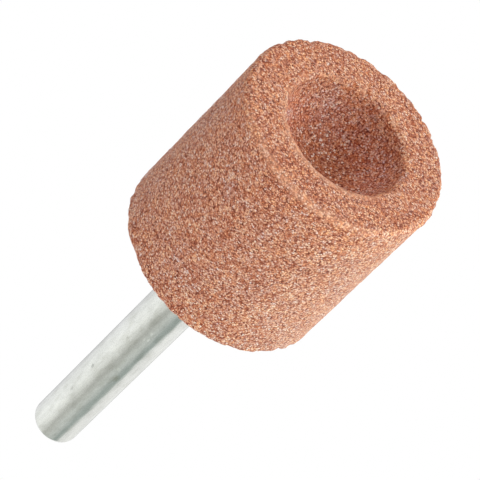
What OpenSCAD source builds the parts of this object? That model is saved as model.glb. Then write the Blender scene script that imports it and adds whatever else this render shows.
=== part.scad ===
// Mounted point: a cylindrical abrasive head with a dished working face, on a plain round shank.
// It stands on its working face, with that face's centre at the origin and the shank pointing up.
// Lengths are in millimetres.

/* [Abrasive head] */
// Diameter of the moulded side next to the working face
front_d = 24.8; // [20:0.1:40]
// Diameter of the side next to the back face, a little wider for draft
back_d = 25.4; // [20:0.1:40]
// Length of the head along its axis
head_l = 25; // [20:1:40]
// Radius of the outer edge of the working face
front_edge_r = 0.6; // [0.2:0.1:2]
// Radius of the outer edge of the back face
back_edge_r = 0.8; // [0.2:0.1:2]

/* [Recess in the working face] */
// Radius of the bowl, which is part of a sphere
bowl_r = 7.6; // [6:0.1:9]
// Depth of the recess at its centre
recess_depth = 6.4; // [4:0.1:8]
// Radius of the lip that eases the bowl into the face
lip_r = 0.6; // [0.2:0.1:1]

/* [Shank] */
// Diameter of the shank, as a collet grips it
shank_d = 6; // [3:0.5:8]
// Length of the shank outside the head
shank_reach = 40; // [20:1:80]
// Radius of the edge round the free end
shank_end_r = 0.6; // [0.2:0.1:1.2]
// Chamfer of the end that sits in the head
seat_chamfer = 0.5; // [0.2:0.1:1]

/* [Seat of the shank] */
// Thickness of abrasive between the end of the shank and the bottom of the recess
web_t = 6.6; // [3:0.2:9]
// Radial room for cement between the shank and its hole
cement_gap = 0.1; // [0.05:0.05:0.3]
// Number of grooves that key the shank into the cement
groove_count = 4; // [1:1:6]
// Radius of a keying groove, which is half round
groove_r = 0.3; // [0.1:0.05:0.5]
// Shank left plain between the mouth of the hole and the first groove
groove_inset = 0.1; // [0.05:0.05:1]

/* [Hidden] */
$fn = 128;

// How far a cut runs past the face that it opens
cut_over = 1;

// Centres of the two edge roundings, as radius and height
front_c = [front_d / 2 - front_edge_r, front_edge_r];
back_c = [back_d / 2 - back_edge_r, head_l - back_edge_r];

// Centres of the bowl and of its lip, which touches the working face and the outside of the bowl
bowl_c = [0, recess_depth - bowl_r];
lip_c = [sqrt(pow(bowl_r + lip_r, 2) - pow(lip_r - bowl_c.y, 2)), lip_r];

shank_r = shank_d / 2;
hole_r = shank_r + cement_gap;
seat_z = recess_depth + web_t;
seat_depth = head_l - seat_z;
shank_top = head_l + shank_reach;
first_groove_z = head_l - groove_inset - groove_r;
groove_pitch = (first_groove_z - seat_z) / groove_count;

// Sections are drawn as radius and height, and turned about the axis

// The moulded blank: a side with slight draft between two rounded edges
module blank_section() {
    polygon([
        [0, 0],
        [front_c.x, 0],
        [front_d / 2, front_c.y],
        [back_d / 2, back_c.y],
        [back_c.x, head_l],
        [0, head_l]
    ]);
    translate(front_c) circle(front_edge_r);
    translate(back_c) circle(back_edge_r);
}

// The space in the recess: the bowl, and the flare that the line of centres bounds, less the lip
module recess_section() {
    low = min(bowl_c.y, 0) - cut_over;
    difference() {
        union() {
            intersection() {
                translate(bowl_c) circle(bowl_r);
                translate([0, bowl_c.y - 2 * bowl_r]) square([2 * bowl_r, 4 * bowl_r]);
            }
            polygon([bowl_c, [0, low], [lip_c.x, low], lip_c]);
        }
        translate(lip_c) circle(lip_r);
    }
}

// The blind hole for the shank
module hole_section() {
    translate([0, seat_z]) square([hole_r, seat_depth + cut_over]);
}

// The shank: chamfered where it seats, rounded at its free end
module shank_section() {
    end_c = [shank_r - shank_end_r, shank_top - shank_end_r];
    polygon([
        [0, seat_z],
        [shank_r - seat_chamfer, seat_z],
        [shank_r, seat_z + seat_chamfer],
        [shank_r, end_c.y],
        [end_c.x, shank_top],
        [0, shank_top]
    ]);
    translate(end_c) circle(shank_end_r);
}

// The grooves, from the mouth of the hole down
module grooves_section() {
    for (k = [0:1:groove_count - 1])
        translate([shank_r, first_groove_z - k * groove_pitch]) circle(groove_r);
}

module abrasive_head() {
    color([0.74, 0.52, 0.43])
    rotate_extrude()
    difference() {
        blank_section();
        recess_section();
        hole_section();
    }
}

module shank() {
    color([0.80, 0.81, 0.79])
    rotate_extrude()
    difference() {
        shank_section();
        grooves_section();
    }
}

abrasive_head();
shank();
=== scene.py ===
import math

import bmesh
import bpy
from mathutils import Matrix, Vector, noise


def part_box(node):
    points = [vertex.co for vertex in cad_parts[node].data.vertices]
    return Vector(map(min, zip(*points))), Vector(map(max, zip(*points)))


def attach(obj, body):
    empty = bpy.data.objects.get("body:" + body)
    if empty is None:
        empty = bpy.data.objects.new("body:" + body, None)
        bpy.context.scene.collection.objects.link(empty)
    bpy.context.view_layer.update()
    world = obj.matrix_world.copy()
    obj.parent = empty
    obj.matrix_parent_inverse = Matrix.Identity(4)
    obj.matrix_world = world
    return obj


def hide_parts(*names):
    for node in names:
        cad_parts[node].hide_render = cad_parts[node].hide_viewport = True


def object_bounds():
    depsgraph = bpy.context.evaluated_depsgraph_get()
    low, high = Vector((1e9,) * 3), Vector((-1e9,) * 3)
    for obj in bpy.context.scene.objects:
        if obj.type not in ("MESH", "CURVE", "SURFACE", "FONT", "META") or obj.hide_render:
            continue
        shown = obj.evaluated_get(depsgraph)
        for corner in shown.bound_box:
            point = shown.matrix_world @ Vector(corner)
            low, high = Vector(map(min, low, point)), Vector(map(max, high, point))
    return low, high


# Looks of the mounted point: a fired, grainy head on a bright steel shank.
# It stands on its working face, so the photograph's view of that face comes from below the floor.

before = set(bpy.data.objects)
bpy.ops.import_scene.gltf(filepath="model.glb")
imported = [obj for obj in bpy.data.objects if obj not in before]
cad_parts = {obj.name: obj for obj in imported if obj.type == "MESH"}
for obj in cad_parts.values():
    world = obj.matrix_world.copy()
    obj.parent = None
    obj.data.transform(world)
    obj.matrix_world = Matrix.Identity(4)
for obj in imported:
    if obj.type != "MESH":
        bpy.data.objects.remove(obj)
cad_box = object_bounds()

MM = 0.001
HEAD = "abrasive_head"
SHANK = "shank"

# Camera

# The photograph's frame and what a camera fitted to the outline gives in it
PICTURE_PX = 480
FOCAL_PX = 2506
FACE_CENTRE_PX = (347.4, 134.1)
FACE_PX_PER_MM = 9.46
AXIS_TO_SIGHT = math.radians(47.56)
AXIS_IN_PICTURE = math.radians(44.59)
SENSOR_WIDTH = 36.0
CLIP_START = 10 * MM


def picture_axes():
    """The picture's right, up and forward directions in the part's frame, with the camera on the -Y side."""
    sight = Vector((0.0, 0.0, 1.0))
    tilt = math.sin(AXIS_TO_SIGHT)
    left = tilt * math.cos(AXIS_IN_PICTURE)
    down = tilt * math.sin(AXIS_IN_PICTURE)
    z_axis = Vector((-left, down, math.cos(AXIS_TO_SIGHT)))
    y_axis = (sight - z_axis * sight.dot(z_axis)).normalized()
    x_axis = y_axis.cross(z_axis)
    to_part = Matrix((x_axis, y_axis, z_axis))
    return to_part @ Vector((1, 0, 0)), to_part @ Vector((0, -1, 0)), to_part @ Vector((0, 0, 1))


def camera_frame():
    """Where the camera stands, and its right, up and forward directions."""
    right, up, forward = picture_axes()
    metres_per_px = MM / FACE_PX_PER_MM
    middle = PICTURE_PX / 2
    place = -forward * FOCAL_PX * metres_per_px
    place -= right * (FACE_CENTRE_PX[0] - middle) * metres_per_px
    place += up * (FACE_CENTRE_PX[1] - middle) * metres_per_px
    return place, right, up, forward


def make_camera():
    """The photograph's view: the working face is seen from in front and below."""
    place, right, up, forward = camera_frame()
    camera = bpy.data.objects.new("camera", bpy.data.cameras.new("camera"))
    camera.data.sensor_width = SENSOR_WIDTH
    camera.data.lens = FOCAL_PX / PICTURE_PX * SENSOR_WIDTH
    camera.data.clip_start = CLIP_START
    camera.matrix_world = Matrix.Translation(place) @ Matrix((right, up, -forward)).transposed().to_4x4()
    bpy.context.scene.collection.objects.link(camera)
    bpy.context.scene.camera = camera


# Outline of the head

# The outline is read off a cut that stands at this angle about the axis
CUT_ANGLE = 0.4
WELD = 0.002 * MM
CUT_TOLERANCE = WELD / 4
STEP = 0.24 * MM
LEAST_STEP = 0.12 * MM
# The shank's hole is cut coarsely, and reaches this far from the shank
HOLE_STEP = 2.0 * MM
HOLE_ROOM = 0.2 * MM

# An edge is where the outline turns at least so far within this reach
LEAST_TURN = math.radians(50)
TURN_REACH = 0.6 * MM
# The points of an edge are those that turn nearly as far as its sharpest, and lie this few points from it
LEVEL_TURN = 0.05
LEVEL_POINTS = 12
RIM_REACH = 2.0 * MM


def half_section(node):
    """A turned node's outline as (radius, height) points in order, read off a cut through its CAD mesh."""
    along = Vector((math.cos(CUT_ANGLE), math.sin(CUT_ANGLE), 0.0))
    across = Vector((-along.y, along.x, 0.0))
    cut = bmesh.new()
    cut.from_mesh(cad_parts[node].data)
    bmesh.ops.remove_doubles(cut, verts=cut.verts, dist=WELD)
    bmesh.ops.bisect_plane(
        cut,
        geom=cut.verts[:] + cut.edges[:] + cut.faces[:],
        dist=CUT_TOLERANCE,
        plane_co=(0, 0, 0),
        plane_no=across,
        clear_inner=True,
        clear_outer=True,
    )
    before = min((v for v in cut.verts if abs(v.co.dot(along)) < STEP), key=lambda v: v.co.z)
    here = max((e.other_vert(before) for e in before.link_edges), key=lambda v: v.co.dot(along))
    points = [(0.0, before.co.z)]
    while here.co.dot(along) > WELD:
        points.append((here.co.dot(along), here.co.z))
        ahead = [e.other_vert(here) for e in here.link_edges if e.other_vert(here) is not before]
        before, here = here, ahead[0]
    points.append((0.0, here.co.z))
    cut.free()
    return points


def thin(points):
    """The same outline without the points that crowd together on its small roundings."""
    kept = [points[0]]
    for point in points[1:-1]:
        if math.dist(point, kept[-1]) > LEAST_STEP:
            kept.append(point)
    return kept + [points[-1]]


def divide(points, step_at):
    """The same outline with each stretch cut into even steps."""
    fine = [points[0]]
    for (r0, z0), (r1, z1) in zip(points, points[1:]):
        length = math.hypot(r1 - r0, z1 - z0)
        count = max(1, math.ceil(length / step_at((r0 + r1) / 2, (z0 + z1) / 2)))
        for k in range(1, count + 1):
            fine.append((r0 + (r1 - r0) * k / count, z0 + (z1 - z0) * k / count))
    return fine


def outline_normals(points):
    """The outward direction at each point of an outline that has its solid on the left."""
    normals = []
    for k in range(len(points)):
        r0, z0 = points[max(k - 1, 0)]
        r1, z1 = points[min(k + 1, len(points) - 1)]
        length = math.hypot(r1 - r0, z1 - z0)
        normals.append(((z1 - z0) / length, (r0 - r1) / length))
    return normals


def outline_turns(points, normals):
    """How far the outline turns outwards close to each of its points."""
    steps = []
    for (r0, z0), (r1, z1) in zip(normals, normals[1:]):
        steps.append(math.asin(max(-1.0, min(1.0, r0 * z1 - z0 * r1))))
    turns = []
    for point in points:
        near = [k for k, other in enumerate(points) if math.dist(other, point) < TURN_REACH]
        turns.append(sum(steps[k] for k in near[:-1]))
    return turns


def find_rims(points, normals):
    """The middle of each outer edge, as radius and height, and the way that it faces."""
    turns = outline_turns(points, normals)
    rims = []
    while max(turns) > LEAST_TURN:
        sharpest = turns.index(max(turns))
        alike = [k for k, turn in enumerate(turns) if turn > turns[sharpest] - LEVEL_TURN]
        edge = [k for k in alike if abs(k - sharpest) < LEVEL_POINTS]
        middle = edge[len(edge) // 2]
        rims.append((*points[middle], *normals[middle]))
        for k, point in enumerate(points):
            if math.dist(point, points[middle]) < RIM_REACH:
                turns[k] = 0.0
    return rims


# Surface of the head

TURN_STEPS = 360

# Grain all over: size and rise of a grain and of a clump, and how far any may stand proud
GRAIN = 0.5 * MM
GRAIN_RISE = 0.07 * MM
# Share of a grain's size at which its dome is level with the moulded form
GRAIN_LEVEL = 0.5
CLUMP = 2.2 * MM
CLUMP_RISE = 0.04 * MM
PROUD = 0.05 * MM

# Edges: how far from an edge its relief fades out, and the size and rise of what stands out or is gone
RIM_FADE = 1.2 * MM
SWELL = 1.3 * MM
SWELL_RISE = 0.55 * MM
SWELL_BASE = 0.08 * MM
CHIP = 0.7 * MM
CHIP_DEPTH = 0.8 * MM
CRUMB = 0.35 * MM
CRUMB_DEPTH = 0.10 * MM
LEAST_BROKEN = 0.35
BACK_BROKEN = 0.7

# Multiples of this keep one noise from lining up with another
NUDGE = Vector((3.1, 7.7, 1.3))

# Marks that the colour follows: worn grain with painted highlight along the edges, moulded skin away from
# the face, and depth in the recess, which sets painted shade and painted glints there
WEAR_AND_HIGHLIGHT = "lip_wear_and_highlight"
SKIN = "moulded_skin"
RECESS = "recess_depth"
# Painted glints in steps along a broken edge: their size, their mean and how much they vary
PAINTED_GLINT_STEP = 0.45 * MM
STEP_BASE = 0.4
STEP_CONTRAST = 1.5
# Smooth band of worn grain and painted highlight on the outer edge, where the lip's is 1
FRONT_WEAR_AND_HIGHLIGHT = 0.8
SKIN_FADE = (0.5 * MM, 6.0 * MM)


def spin(r, z, turn):
    """The point at a radius and a height, turned about the axis."""
    return Vector((r * math.cos(turn), r * math.sin(turn), z))


def relief(place):
    """How far the fired surface stands above the moulded form at a place, below it where it is negative."""
    distances = noise.voronoi(place / GRAIN)[0]
    clump = noise.noise(place / CLUMP + NUDGE)
    return min(GRAIN_RISE * (GRAIN_LEVEL - distances[0]) + CLUMP_RISE * clump, PROUD)


def rim_swell(on_rim):
    """How far the grains of an edge stand proud at a point of its rim."""
    return SWELL_BASE + SWELL_RISE * noise.noise(on_rim / SWELL + NUDGE * 3)


def chip_depth(on_rim, place):
    """How much of an edge has broken away beside a point of its rim."""
    chip = max(0.0, noise.noise(on_rim / CHIP + NUDGE * 2))
    crumb = noise.noise(place / CRUMB - NUDGE)
    return CHIP_DEPTH * chip * chip + CRUMB_DEPTH * crumb


def rim_weight(r, z, rim):
    """1 on the middle of a rim, falling to 0 away from it."""
    away = math.hypot(r - rim[0], z - rim[1]) / RIM_FADE
    return max(0.0, 1.0 - away * away)


def broken(turn):
    """How broken the edges of the working face are: 0 on the side nearest the camera, 1 on the far side."""
    return 0.5 + 0.5 * math.sin(turn)


def raggedness(rim, turn):
    """How much of its relief an edge has: the same all round the back, but not round the working face."""
    if rim[1] > RIM_REACH:
        return BACK_BROKEN
    return LEAST_BROKEN + (1.0 - LEAST_BROKEN) * broken(turn)


def region_marks(r, z, turn, lip, front, depth):
    """How bright a point of the outline is with worn grain and painted highlight, how plainly moulded, and
    how deep in the recess.
    """
    # Painted glints in steps along the broken far side of the edges
    steps = broken(turn) * (STEP_BASE + STEP_CONTRAST * noise.noise(spin(r, z, turn) / PAINTED_GLINT_STEP))
    # Worn grain with painted highlight on the smooth near side of the lip and the outer edge
    smooth = (1.0 - broken(turn)) ** 2
    lip_wear_and_highlight = rim_weight(r, z, lip) * (smooth + steps)
    front_wear_and_highlight = rim_weight(r, z, front) * (FRONT_WEAR_AND_HIGHLIGHT * smooth + steps)
    wear_and_highlight = lip_wear_and_highlight + front_wear_and_highlight
    if r < lip[0]:
        return wear_and_highlight, 0.0, min(1.0, z / depth)
    skin = max(0.0, min(1.0, (z - SKIN_FADE[0]) / (SKIN_FADE[1] - SKIN_FADE[0])))
    return wear_and_highlight, skin, 0.0


def worn_point(r, z, normal, rims, turn):
    """A point of the head: the moulded form with its grain, less what has chipped off the edges."""
    place = spin(r, z, turn)
    rise = relief(place)
    r += normal[0] * rise
    z += normal[1] * rise
    for rim in rims:
        rim_r, rim_z, rim_nr, rim_nz = rim
        if math.hypot(r - rim_r, z - rim_z) < RIM_REACH:
            on_rim = spin(rim_r, rim_z, turn)
            height = (r - rim_r) * rim_nr + (z - rim_z) * rim_nz
            share = raggedness(rim, turn)
            swell = share * rim_weight(r, z, rim) * rim_swell(on_rim)
            cut = max(0.0, height + swell + share * chip_depth(on_rim, place)) - swell
            r -= rim_nr * cut
            z -= rim_nz * cut
    return spin(r, max(z, 0.0), turn)


def ring_faces(rings):
    """The faces between each ring of points, given as its first point and its count, and the next ring."""
    faces = []
    for (a, a_count), (b, b_count) in zip(rings, rings[1:]):
        for k in range(TURN_STEPS):
            n = (k + 1) % TURN_STEPS
            if a_count == 1:
                faces.append((a, b + n, b + k))
            elif b_count == 1:
                faces.append((a + k, a + n, b))
            else:
                faces.append((a + k, a + n, b + n, b + k))
    return faces


def make_head():
    """The head, turned from its CAD outline in fine steps, with grain and chipped edges as real relief."""
    hole_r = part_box(SHANK)[1].x + HOLE_ROOM
    middle_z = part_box(HEAD)[1].z / 2

    def in_hole(r, z):
        return r < hole_r and z > middle_z

    points = divide(thin(half_section(HEAD)), lambda r, z: HOLE_STEP if in_hole(r, z) else STEP)
    normals = outline_normals(points)
    rims = [rim for rim in find_rims(points, normals) if not in_hole(*rim[:2])]
    lip, front = sorted(rim for rim in rims if rim[1] < RIM_REACH)
    depth = points[0][1]
    verts = []
    marks = []
    rings = []
    for (r, z), normal in zip(points, normals):
        count = TURN_STEPS if r > WELD else 1
        rings.append((len(verts), count))
        for k in range(count):
            turn = 2 * math.pi * k / TURN_STEPS
            marks.append(region_marks(r, z, turn, lip, front, depth))
            verts.append(spin(r, z, turn) if in_hole(r, z) else worn_point(r, z, normal, rims, turn))
    mesh = bpy.data.meshes.new("grain_head")
    mesh.from_pydata(verts, [], ring_faces(rings))
    for name, values in zip((WEAR_AND_HIGHLIGHT, SKIN, RECESS), zip(*marks)):
        mesh.attributes.new(name, "FLOAT", "POINT").data.foreach_set("value", values)
    mesh.update()
    for face in mesh.polygons:
        face.use_smooth = True
    head = bpy.data.objects.new("grain_head", mesh)
    bpy.context.scene.collection.objects.link(head)
    return head


# Shader nodes

PLAIN = (1.0, 1.0, 1.0)


def new_material(name):
    """A material with its node tree and its shader."""
    material = bpy.data.materials.new(name)
    material.use_nodes = True
    return material, material.node_tree, material.node_tree.nodes["Principled BSDF"]


def object_place(tree):
    """The place on the object, in its own frame."""
    return tree.nodes.new("ShaderNodeTexCoord").outputs["Object"]


def ramp(tree, value, stops):
    """The colour that a ramp of stops gives for a value."""
    node = tree.nodes.new("ShaderNodeValToRGB")
    elements = node.color_ramp.elements
    while len(elements) < len(stops):
        elements.new(0.5)
    for element, (position, colour) in zip(elements, stops):
        element.position = position
        element.color = (*colour, 1.0)
    tree.links.new(value, node.inputs["Fac"])
    return node.outputs["Color"]


def patches(tree, place, patch):
    """Soft noise, with the patch's size and how many finer layers it has."""
    size, detail = patch
    node = tree.nodes.new("ShaderNodeTexNoise")
    node.inputs["Scale"].default_value = 1.0 / size
    node.inputs["Detail"].default_value = detail
    tree.links.new(place, node.inputs["Vector"])
    return node.outputs["Fac"]


def mix_colour(tree, blend, factor, a, b):
    """Two colours blended. The factor may be a number, and the second colour a plain one."""
    node = tree.nodes.new("ShaderNodeMix")
    node.data_type = "RGBA"
    node.blend_type = blend
    if isinstance(factor, float):
        node.inputs["Factor"].default_value = factor
    else:
        tree.links.new(factor, node.inputs["Factor"])
    tree.links.new(a, node.inputs["A"])
    if isinstance(b, tuple):
        node.inputs["B"].default_value = (*b, 1.0)
    else:
        tree.links.new(b, node.inputs["B"])
    return node.outputs["Result"]


def tint(tree, colour, value, stops, share=1.0):
    """The colour, multiplied by what a ramp of stops gives for a value."""
    return mix_colour(tree, "MULTIPLY", share, colour, ramp(tree, value, stops))


def map_range(tree, value, start, end):
    """A value from 0 to 1, spread between two ends."""
    node = tree.nodes.new("ShaderNodeMapRange")
    node.inputs["To Min"].default_value = start
    node.inputs["To Max"].default_value = end
    tree.links.new(value, node.inputs["Value"])
    return node.outputs["Result"]


def length_of(tree, vector):
    """The length of a vector."""
    node = tree.nodes.new("ShaderNodeVectorMath")
    node.operation = "LENGTH"
    tree.links.new(vector, node.inputs[0])
    return node.outputs["Value"]


def bump(tree, height, strength, rise):
    """A node that tilts the surface as a height over it would."""
    node = tree.nodes.new("ShaderNodeBump")
    node.inputs["Strength"].default_value = strength
    node.inputs["Distance"].default_value = rise
    tree.links.new(height, node.inputs["Height"])
    return node


# Stone

FINE_GRAIN = 0.175 * MM
SPECK = (0.12 * MM, 1.0)
MOTTLE = (2.6 * MM, 3.0)
# Patches with more bond and with less, which the moulded skin half hides
BOND = (0.6 * MM, 1.0)
BOND_SHARE = (1.0, 0.6)

# From the dark pores to the palest crystals
GRAIN_TONES = [
    (0.00, (0.16, 0.028, 0.012)),
    (0.12, (0.31, 0.078, 0.036)),
    (0.30, (0.47, 0.158, 0.083)),
    (0.58, (0.60, 0.265, 0.158)),
    (0.85, (0.70, 0.400, 0.262)),
    (1.00, (0.78, 0.560, 0.425)),
]
# Orange bond at one end, greyer crystal at the other
GRAIN_HUES = [(0.0, (1.04, 0.90, 0.69)), (1.0, (0.93, 1.005, 1.06))]
PORE_TONES = [(0.45, PLAIN), (0.82, (0.47, 0.28, 0.24))]
SPECK_TONES = [(0.3, (0.80, 0.68, 0.66)), (0.7, (1.18, 1.32, 1.45))]
MOTTLE_TONES = [(0.3, (0.96, 0.98, 1.04)), (0.7, (1.04, 1.02, 0.96))]
BOND_HUES = [(0.35, (1.05, 0.95, 0.78)), (0.65, (0.97, 1.04, 1.16))]
# Grain that is worn bright along an edge, with painted highlight and painted glints there
WORN_AND_HIGHLIT = (0.72, 0.385, 0.235)
WORN_AND_HIGHLIT_SHARE = [(0.45, (0.0, 0.0, 0.0)), (1.0, (0.45, 0.45, 0.45))]
# What a region's mark does to the colour as it grows from 0 to 1
REGION_TINTS = {
    SKIN: [(0.0, PLAIN), (1.0, (0.985, 1.075, 1.17))],
    # Painted shade: darker and browner the deeper in the recess
    RECESS: [
        (0.0, PLAIN),
        (0.45, (0.985, 0.935, 1.05)),
        (0.7, (0.97, 0.86, 0.90)),
        (1.0, (0.875, 0.775, 0.70)),
    ],
}
# Painted glints as pale grains in the recess: the grains with the highest lots
PAINTED_GLINT = (0.82, 0.72, 0.62)
PAINTED_GLINT_FROM = (0.945, 0.965)

STONE_ROUGHNESS = (0.40, 0.95)
STONE_GLOSS = 0.3
GRAIN_BUMP = 0.35
GRAIN_BUMP_RISE = 0.05 * MM


def region(tree, mark):
    """The value of one of the head's region marks."""
    node = tree.nodes.new("ShaderNodeAttribute")
    node.attribute_name = mark
    return node.outputs["Fac"]


def painted_glint_share(tree, lot):
    """How far a grain shows a painted glint: only the highest lots do, and more so deep in the recess."""
    node = tree.nodes.new("ShaderNodeMapRange")
    node.inputs["From Min"].default_value = PAINTED_GLINT_FROM[0]
    node.inputs["From Max"].default_value = PAINTED_GLINT_FROM[1]
    tree.links.new(lot, node.inputs["Value"])
    tree.links.new(region(tree, RECESS), node.inputs["To Max"])
    return node.outputs["Result"]


def stone_colour(tree, place, grain, tone, hue, lot):
    """Each grain's own tone and hue, then pores, patches, worn grain with painted highlight on the edges,
    the moulded skin's tint, painted shade in the recess and painted glints.
    """
    colour = tint(tree, ramp(tree, tone, GRAIN_TONES), hue, GRAIN_HUES)
    colour = tint(tree, colour, grain.outputs["Distance"], PORE_TONES)
    colour = tint(tree, colour, patches(tree, place, SPECK), SPECK_TONES)
    colour = tint(tree, colour, patches(tree, place, MOTTLE), MOTTLE_TONES)
    share = map_range(tree, region(tree, SKIN), *BOND_SHARE)
    colour = tint(tree, colour, patches(tree, place, BOND), BOND_HUES, share)
    # Worn grain with painted highlight and painted glints along the edges
    colour = mix_colour(tree, "MIX", ramp(tree, region(tree, WEAR_AND_HIGHLIGHT), WORN_AND_HIGHLIT_SHARE), colour, WORN_AND_HIGHLIT)
    for mark, stops in REGION_TINTS.items():
        colour = tint(tree, colour, region(tree, mark), stops)
    # Painted glints on the highest lots, more of them deep in the recess
    return mix_colour(tree, "MIX", painted_glint_share(tree, lot), colour, PAINTED_GLINT)


def stone_material():
    """Orange-brown fused grain: pale crystals in a darker bond, and a greyer skin on the moulded side."""
    material, tree, shader = new_material("fired_grain")
    place = object_place(tree)
    grain = tree.nodes.new("ShaderNodeTexVoronoi")
    grain.inputs["Scale"].default_value = 1.0 / FINE_GRAIN
    tree.links.new(place, grain.inputs["Vector"])
    split = tree.nodes.new("ShaderNodeSeparateColor")
    tree.links.new(grain.outputs["Color"], split.inputs["Color"])
    tone, hue, lot = split.outputs[:3]
    colour = stone_colour(tree, place, grain, tone, hue, lot)
    tree.links.new(colour, shader.inputs["Base Color"])
    tree.links.new(map_range(tree, lot, *STONE_ROUGHNESS), shader.inputs["Roughness"])
    shader.inputs["Specular IOR Level"].default_value = STONE_GLOSS
    domes = bump(tree, grain.outputs["Distance"], GRAIN_BUMP, GRAIN_BUMP_RISE)
    domes.invert = True
    tree.links.new(domes.outputs["Normal"], shader.inputs["Normal"])
    return material


# Steel

# Each pattern's size and how many finer layers it has, and how far it is drawn out along the axis
STREAK = (0.25 * MM, 3.0)
STREAK_STRETCH = 0.02
WAVE = (1.2 * MM, 2.0)
WAVE_STRETCH = 0.2
BLOTCH = (0.7 * MM, 3.0)
BLOTCH_STRETCH = 0.3
SPECKLE = (0.16 * MM, 1.0)
RAGGED = (0.25 * MM, 2.0)
SMUDGE = (5.0 * MM, 4.0)

SMUDGE_TONES = [(0.30, (0.76, 0.77, 0.74)), (0.55, (0.85, 0.86, 0.83)), (0.8, (0.88, 0.89, 0.87))]
BLOTCH_TONES = [(0.35, (0.90, 0.90, 0.88)), (0.50, PLAIN), (0.65, (1.05, 1.05, 1.04))]
SPECKLE_TONES = [(0.30, (0.92, 0.92, 0.92)), (0.70, (1.06, 1.06, 1.06))]

STEEL_ROUGHNESS = (0.14, 0.30)
WAVE_BUMP = 1.0
WAVE_RISE = 0.07 * MM
STREAK_BUMP = 0.15
STREAK_RISE = 0.01 * MM

# Marks of use: where each shows in the photograph, its width and length in millimetres, and its tone
SHANK_MARKS = {
    "dark_nick": ((92.6, 365.8), (0.60, 1.00), (0.58, 0.58, 0.57)),
    "grey_nick": ((71.8, 388.2), (0.55, 1.10), (0.76, 0.76, 0.75)),
    "faint_nick": ((127.5, 337.6), (0.50, 0.80), (0.80, 0.80, 0.78)),
    "brown_smudge": ((116.0, 378.8), (1.20, 1.80), (0.80, 0.78, 0.72)),
    "pale_spot": ((118.8, 369.5), (0.80, 0.80), (1.14, 1.14, 1.12)),
    "first_bright_nick": ((144.0, 339.8), (0.35, 0.80), (1.32, 1.32, 1.30)),
    "second_bright_nick": ((148.2, 340.6), (0.35, 0.90), (1.32, 1.32, 1.30)),
    "third_bright_nick": ((151.6, 334.2), (0.50, 0.70), (1.32, 1.32, 1.30)),
}
# A mark fades out from this share of its ragged reach, which is scaled by this much
MARK_CORE = 0.5
MARK_SCALE = 0.7


def stretched(tree, place, along):
    """The same place, drawn out along the axis."""
    node = tree.nodes.new("ShaderNodeMapping")
    node.inputs["Scale"].default_value = (1.0, 1.0, along)
    tree.links.new(place, node.inputs["Vector"])
    return node.outputs["Vector"]


def on_shank(pixel):
    """The point of the shank's side that a pixel of the photograph shows."""
    eye, right, up, forward = camera_frame()
    across = (pixel[0] - PICTURE_PX / 2) / FOCAL_PX
    down = (pixel[1] - PICTURE_PX / 2) / FOCAL_PX
    ray = forward + right * across - up * down
    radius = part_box(SHANK)[1].x
    a = ray.x * ray.x + ray.y * ray.y
    b = eye.x * ray.x + eye.y * ray.y
    c = eye.x * eye.x + eye.y * eye.y - radius * radius
    return eye + ray * (-b - math.sqrt(b * b - a * c)) / a


def add_mark(tree, place, ragged, colour, mark):
    """The colour with one soft, ragged mark on it."""
    pixel, (width, length), tone = mark
    local = tree.nodes.new("ShaderNodeMapping")
    local.vector_type = "TEXTURE"
    local.inputs["Location"].default_value = on_shank(pixel)
    local.inputs["Scale"].default_value = (width / 2 * MM, width / 2 * MM, length / 2 * MM)
    tree.links.new(place, local.inputs["Vector"])
    edge = tree.nodes.new("ShaderNodeMath")
    edge.operation = "ADD"
    tree.links.new(length_of(tree, local.outputs["Vector"]), edge.inputs[0])
    tree.links.new(ragged, edge.inputs[1])
    scaled = tree.nodes.new("ShaderNodeMath")
    scaled.operation = "MULTIPLY"
    scaled.inputs[1].default_value = MARK_SCALE
    tree.links.new(edge.outputs["Value"], scaled.inputs[0])
    return tint(tree, colour, scaled.outputs["Value"], [(MARK_CORE, tone), (1.0, PLAIN)])


def steel_material():
    """Bright drawn steel: fine streaks along the axis, a slightly wavy surface, blotches and a few marks."""
    material, tree, shader = new_material("drawn_steel")
    place = object_place(tree)
    streak = patches(tree, stretched(tree, place, STREAK_STRETCH), STREAK)
    wave = patches(tree, stretched(tree, place, WAVE_STRETCH), WAVE)
    blotch = patches(tree, stretched(tree, place, BLOTCH_STRETCH), BLOTCH)
    ragged = patches(tree, place, RAGGED)
    colour = ramp(tree, patches(tree, place, SMUDGE), SMUDGE_TONES)
    colour = tint(tree, colour, blotch, BLOTCH_TONES)
    colour = tint(tree, colour, patches(tree, place, SPECKLE), SPECKLE_TONES)
    for mark in SHANK_MARKS.values():
        colour = add_mark(tree, place, ragged, colour, mark)
    tree.links.new(colour, shader.inputs["Base Color"])
    tree.links.new(map_range(tree, streak, *STEEL_ROUGHNESS), shader.inputs["Roughness"])
    shader.inputs["Metallic"].default_value = 1.0
    waves = bump(tree, wave, WAVE_BUMP, WAVE_RISE)
    streaks = bump(tree, streak, STREAK_BUMP, STREAK_RISE)
    tree.links.new(waves.outputs["Normal"], streaks.inputs["Normal"])
    tree.links.new(streaks.outputs["Normal"], shader.inputs["Normal"])
    return material


# Stage and light

FLOOR_R = 0.6
FLOOR_SIDES = 96
FLOOR_FADE = (0.10, 0.45)
FLOOR_COLOUR = (0.86, 0.86, 0.86, 1.0)
FLOOR_ROUGHNESS = 0.8


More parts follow.
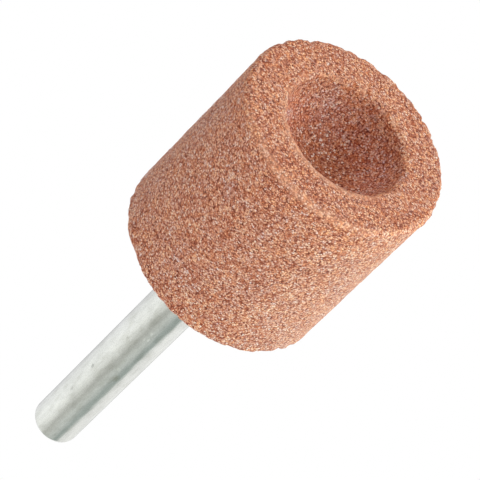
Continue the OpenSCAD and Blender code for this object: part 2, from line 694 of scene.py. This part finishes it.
def floor_material():
    """A pale, matt floor that fades out towards its rim and is clear from below."""
    material, tree, shader = new_material("pale_floor")
    shader.inputs["Base Color"].default_value = FLOOR_COLOUR
    shader.inputs["Roughness"].default_value = FLOOR_ROUGHNESS
    fade = tree.nodes.new("ShaderNodeMapRange")
    fade.interpolation_type = "SMOOTHSTEP"
    fade.inputs["From Min"].default_value = FLOOR_FADE[0]
    fade.inputs["From Max"].default_value = FLOOR_FADE[1]
    tree.links.new(length_of(tree, object_place(tree)), fade.inputs["Value"])
    clear = tree.nodes.new("ShaderNodeMath")
    clear.operation = "MAXIMUM"
    tree.links.new(fade.outputs["Result"], clear.inputs[0])
    tree.links.new(tree.nodes.new("ShaderNodeNewGeometry").outputs["Backfacing"], clear.inputs[1])
    mix = tree.nodes.new("ShaderNodeMixShader")
    tree.links.new(clear.outputs["Value"], mix.inputs["Fac"])
    tree.links.new(shader.outputs["BSDF"], mix.inputs[1])
    tree.links.new(tree.nodes.new("ShaderNodeBsdfTransparent").outputs["BSDF"], mix.inputs[2])
    tree.links.new(mix.outputs["Shader"], tree.nodes["Material Output"].inputs["Surface"])
    return material


def make_floor():
    """A floor that shows from above and takes the part's shadow, but throws no light back on it."""
    bpy.ops.mesh.primitive_circle_add(vertices=FLOOR_SIDES, radius=FLOOR_R, fill_type="NGON")
    floor = bpy.context.object
    floor.name = "floor"
    floor.data.materials.append(floor_material())
    floor.visible_diffuse = False
    floor.visible_glossy = False
    floor.visible_transmission = False
    floor.visible_shadow = False
    return floor


FILL = 0.05
STUDIO_WHITE = (1.0, 1.0, 1.0, 1.0)

# What polished metal mirrors, round the horizon from -X through -Y, +X and +Y back to -X
MIRRORED = [
    (0.000, (0.90, 0.90, 0.89)),
    (0.020, (0.84, 0.85, 0.83)),
    (0.045, (0.46, 0.50, 0.48)),
    (0.065, (0.35, 0.40, 0.38)),
    (0.095, (0.37, 0.42, 0.40)),
    (0.130, (0.53, 0.56, 0.54)),
    (0.175, (0.64, 0.67, 0.64)),
    (0.225, (0.52, 0.53, 0.50)),
    (0.250, (0.48, 0.49, 0.46)),
    (0.285, (0.64, 0.65, 0.62)),
    (0.335, (0.82, 0.83, 0.80)),
    (0.390, (0.98, 0.99, 0.97)),
    (0.450, (1.00, 1.01, 1.00)),
    (0.560, (0.89, 0.90, 0.90)),
    (0.660, (0.80, 0.80, 0.82)),
    (0.700, (0.42, 0.43, 0.43)),
    (0.780, (0.52, 0.53, 0.52)),
    (0.840, (0.96, 0.96, 0.95)),
    (1.000, (0.90, 0.90, 0.89)),
]
# And how that changes from the horizon up
MIRRORED_UPWARD = [(0.2, (0.82, 0.82, 0.82)), (0.6, PLAIN)]


def background(tree):
    """A background and its colour socket."""
    node = tree.nodes.new("ShaderNodeBackground")
    return node.outputs["Background"], node.inputs["Color"]


def mirrored_world(tree):
    """The light and dark bands that the steel mirrors."""
    direction = tree.nodes.new("ShaderNodeTexCoord").outputs["Generated"]
    around = tree.nodes.new("ShaderNodeTexGradient")
    around.gradient_type = "RADIAL"
    tree.links.new(direction, around.inputs["Vector"])
    axes = tree.nodes.new("ShaderNodeSeparateXYZ")
    tree.links.new(direction, axes.inputs["Vector"])
    bands = ramp(tree, around.outputs["Fac"], MIRRORED)
    mirrored, colour = background(tree)
    tree.links.new(tint(tree, bands, axes.outputs["Z"], MIRRORED_UPWARD), colour)
    return mirrored


def choose(tree, when, no, yes):
    """One shader or the other, by the kind of ray."""
    node = tree.nodes.new("ShaderNodeMixShader")
    tree.links.new(when, node.inputs["Fac"])
    tree.links.new(no, node.inputs[1])
    tree.links.new(yes, node.inputs[2])
    return node.outputs["Shader"]


def make_world():
    """White behind the object, a weak fill as light, and bands for the metal to mirror."""
    world = bpy.data.worlds.new("studio")
    world.use_nodes = True
    bpy.context.scene.world = world
    tree = world.node_tree
    fill = tree.nodes["Background"]
    fill.inputs["Color"].default_value = STUDIO_WHITE
    fill.inputs["Strength"].default_value = FILL
    backdrop, colour = background(tree)
    colour.default_value = STUDIO_WHITE
    path = tree.nodes.new("ShaderNodeLightPath").outputs
    lit = choose(tree, path["Is Glossy Ray"], fill.outputs["Background"], mirrored_world(tree))
    seen = choose(tree, path["Is Camera Ray"], lit, backdrop)
    tree.links.new(seen, tree.nodes["World Output"].inputs["Surface"])


WHITE = (1.0, 1.0, 1.0)
COOL = (0.8, 1.0, 1.0)
# Soft boxes: bearing round the picture from its right and lean towards the camera in degrees, watts, colour
SOFT_BOXES = {
    "front_left": (160, 45, 1.0, WHITE),
    "front_right": (20, 45, 1.7, WHITE),
    "front_low": (245, 45, 2.25, WHITE),
    "left": (165, 15, 0.75, WHITE),
    "top": (90, 0, 1.25, WHITE),
    "right": (25, -10, 1.75, WHITE),
    "right_low": (-35, 25, 2.25, COOL),
    "right_rim": (-40, -15, 3.0, COOL),
    "above": (225, -45, 1.75, WHITE),
    "behind": (0, -90, 2.0, WHITE),
}
LIGHT_DISTANCE = 0.6
LIGHT_SIZE = 0.3


def light_direction(bearing, lean):
    """The way from the object to a light, from its bearing round the picture and its lean to the camera."""
    right, up, forward = picture_axes()
    round_picture = right * math.cos(math.radians(bearing)) + up * math.sin(math.radians(bearing))
    return round_picture * math.cos(math.radians(lean)) - forward * math.sin(math.radians(lean))


def make_lights(lit):
    """Soft boxes that light the matt things only: the steel shows what it mirrors of the world."""
    matt = bpy.data.collections.new("matt")
    for thing in lit:
        matt.objects.link(thing)
    low, high = cad_box
    middle = (low + high) / 2
    for name, (bearing, lean, power, colour) in SOFT_BOXES.items():
        light = bpy.data.lights.new(name, "AREA")
        light.shape = "DISK"
        light.size = LIGHT_SIZE
        light.energy = power
        light.color = colour
        lamp = bpy.data.objects.new(name, light)
        direction = light_direction(bearing, lean)
        lamp.location = middle + direction * LIGHT_DISTANCE
        lamp.rotation_mode = "QUATERNION"
        lamp.rotation_quaternion = direction.to_track_quat("Z", "Y")
        lamp.visible_camera = False
        lamp.light_linking.receiver_collection = matt
        bpy.context.scene.collection.objects.link(lamp)


def dress():
    """The two pieces with their finishes."""
    head = make_head()
    head.data.materials.append(stone_material())
    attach(head, "root")
    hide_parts(HEAD)
    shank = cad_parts[SHANK]
    shank.data.materials.clear()
    shank.data.materials.append(steel_material())
    return head


make_camera()
make_world()
make_lights([make_floor(), dress()])
bpy.context.scene.view_settings.view_transform = "Standard"
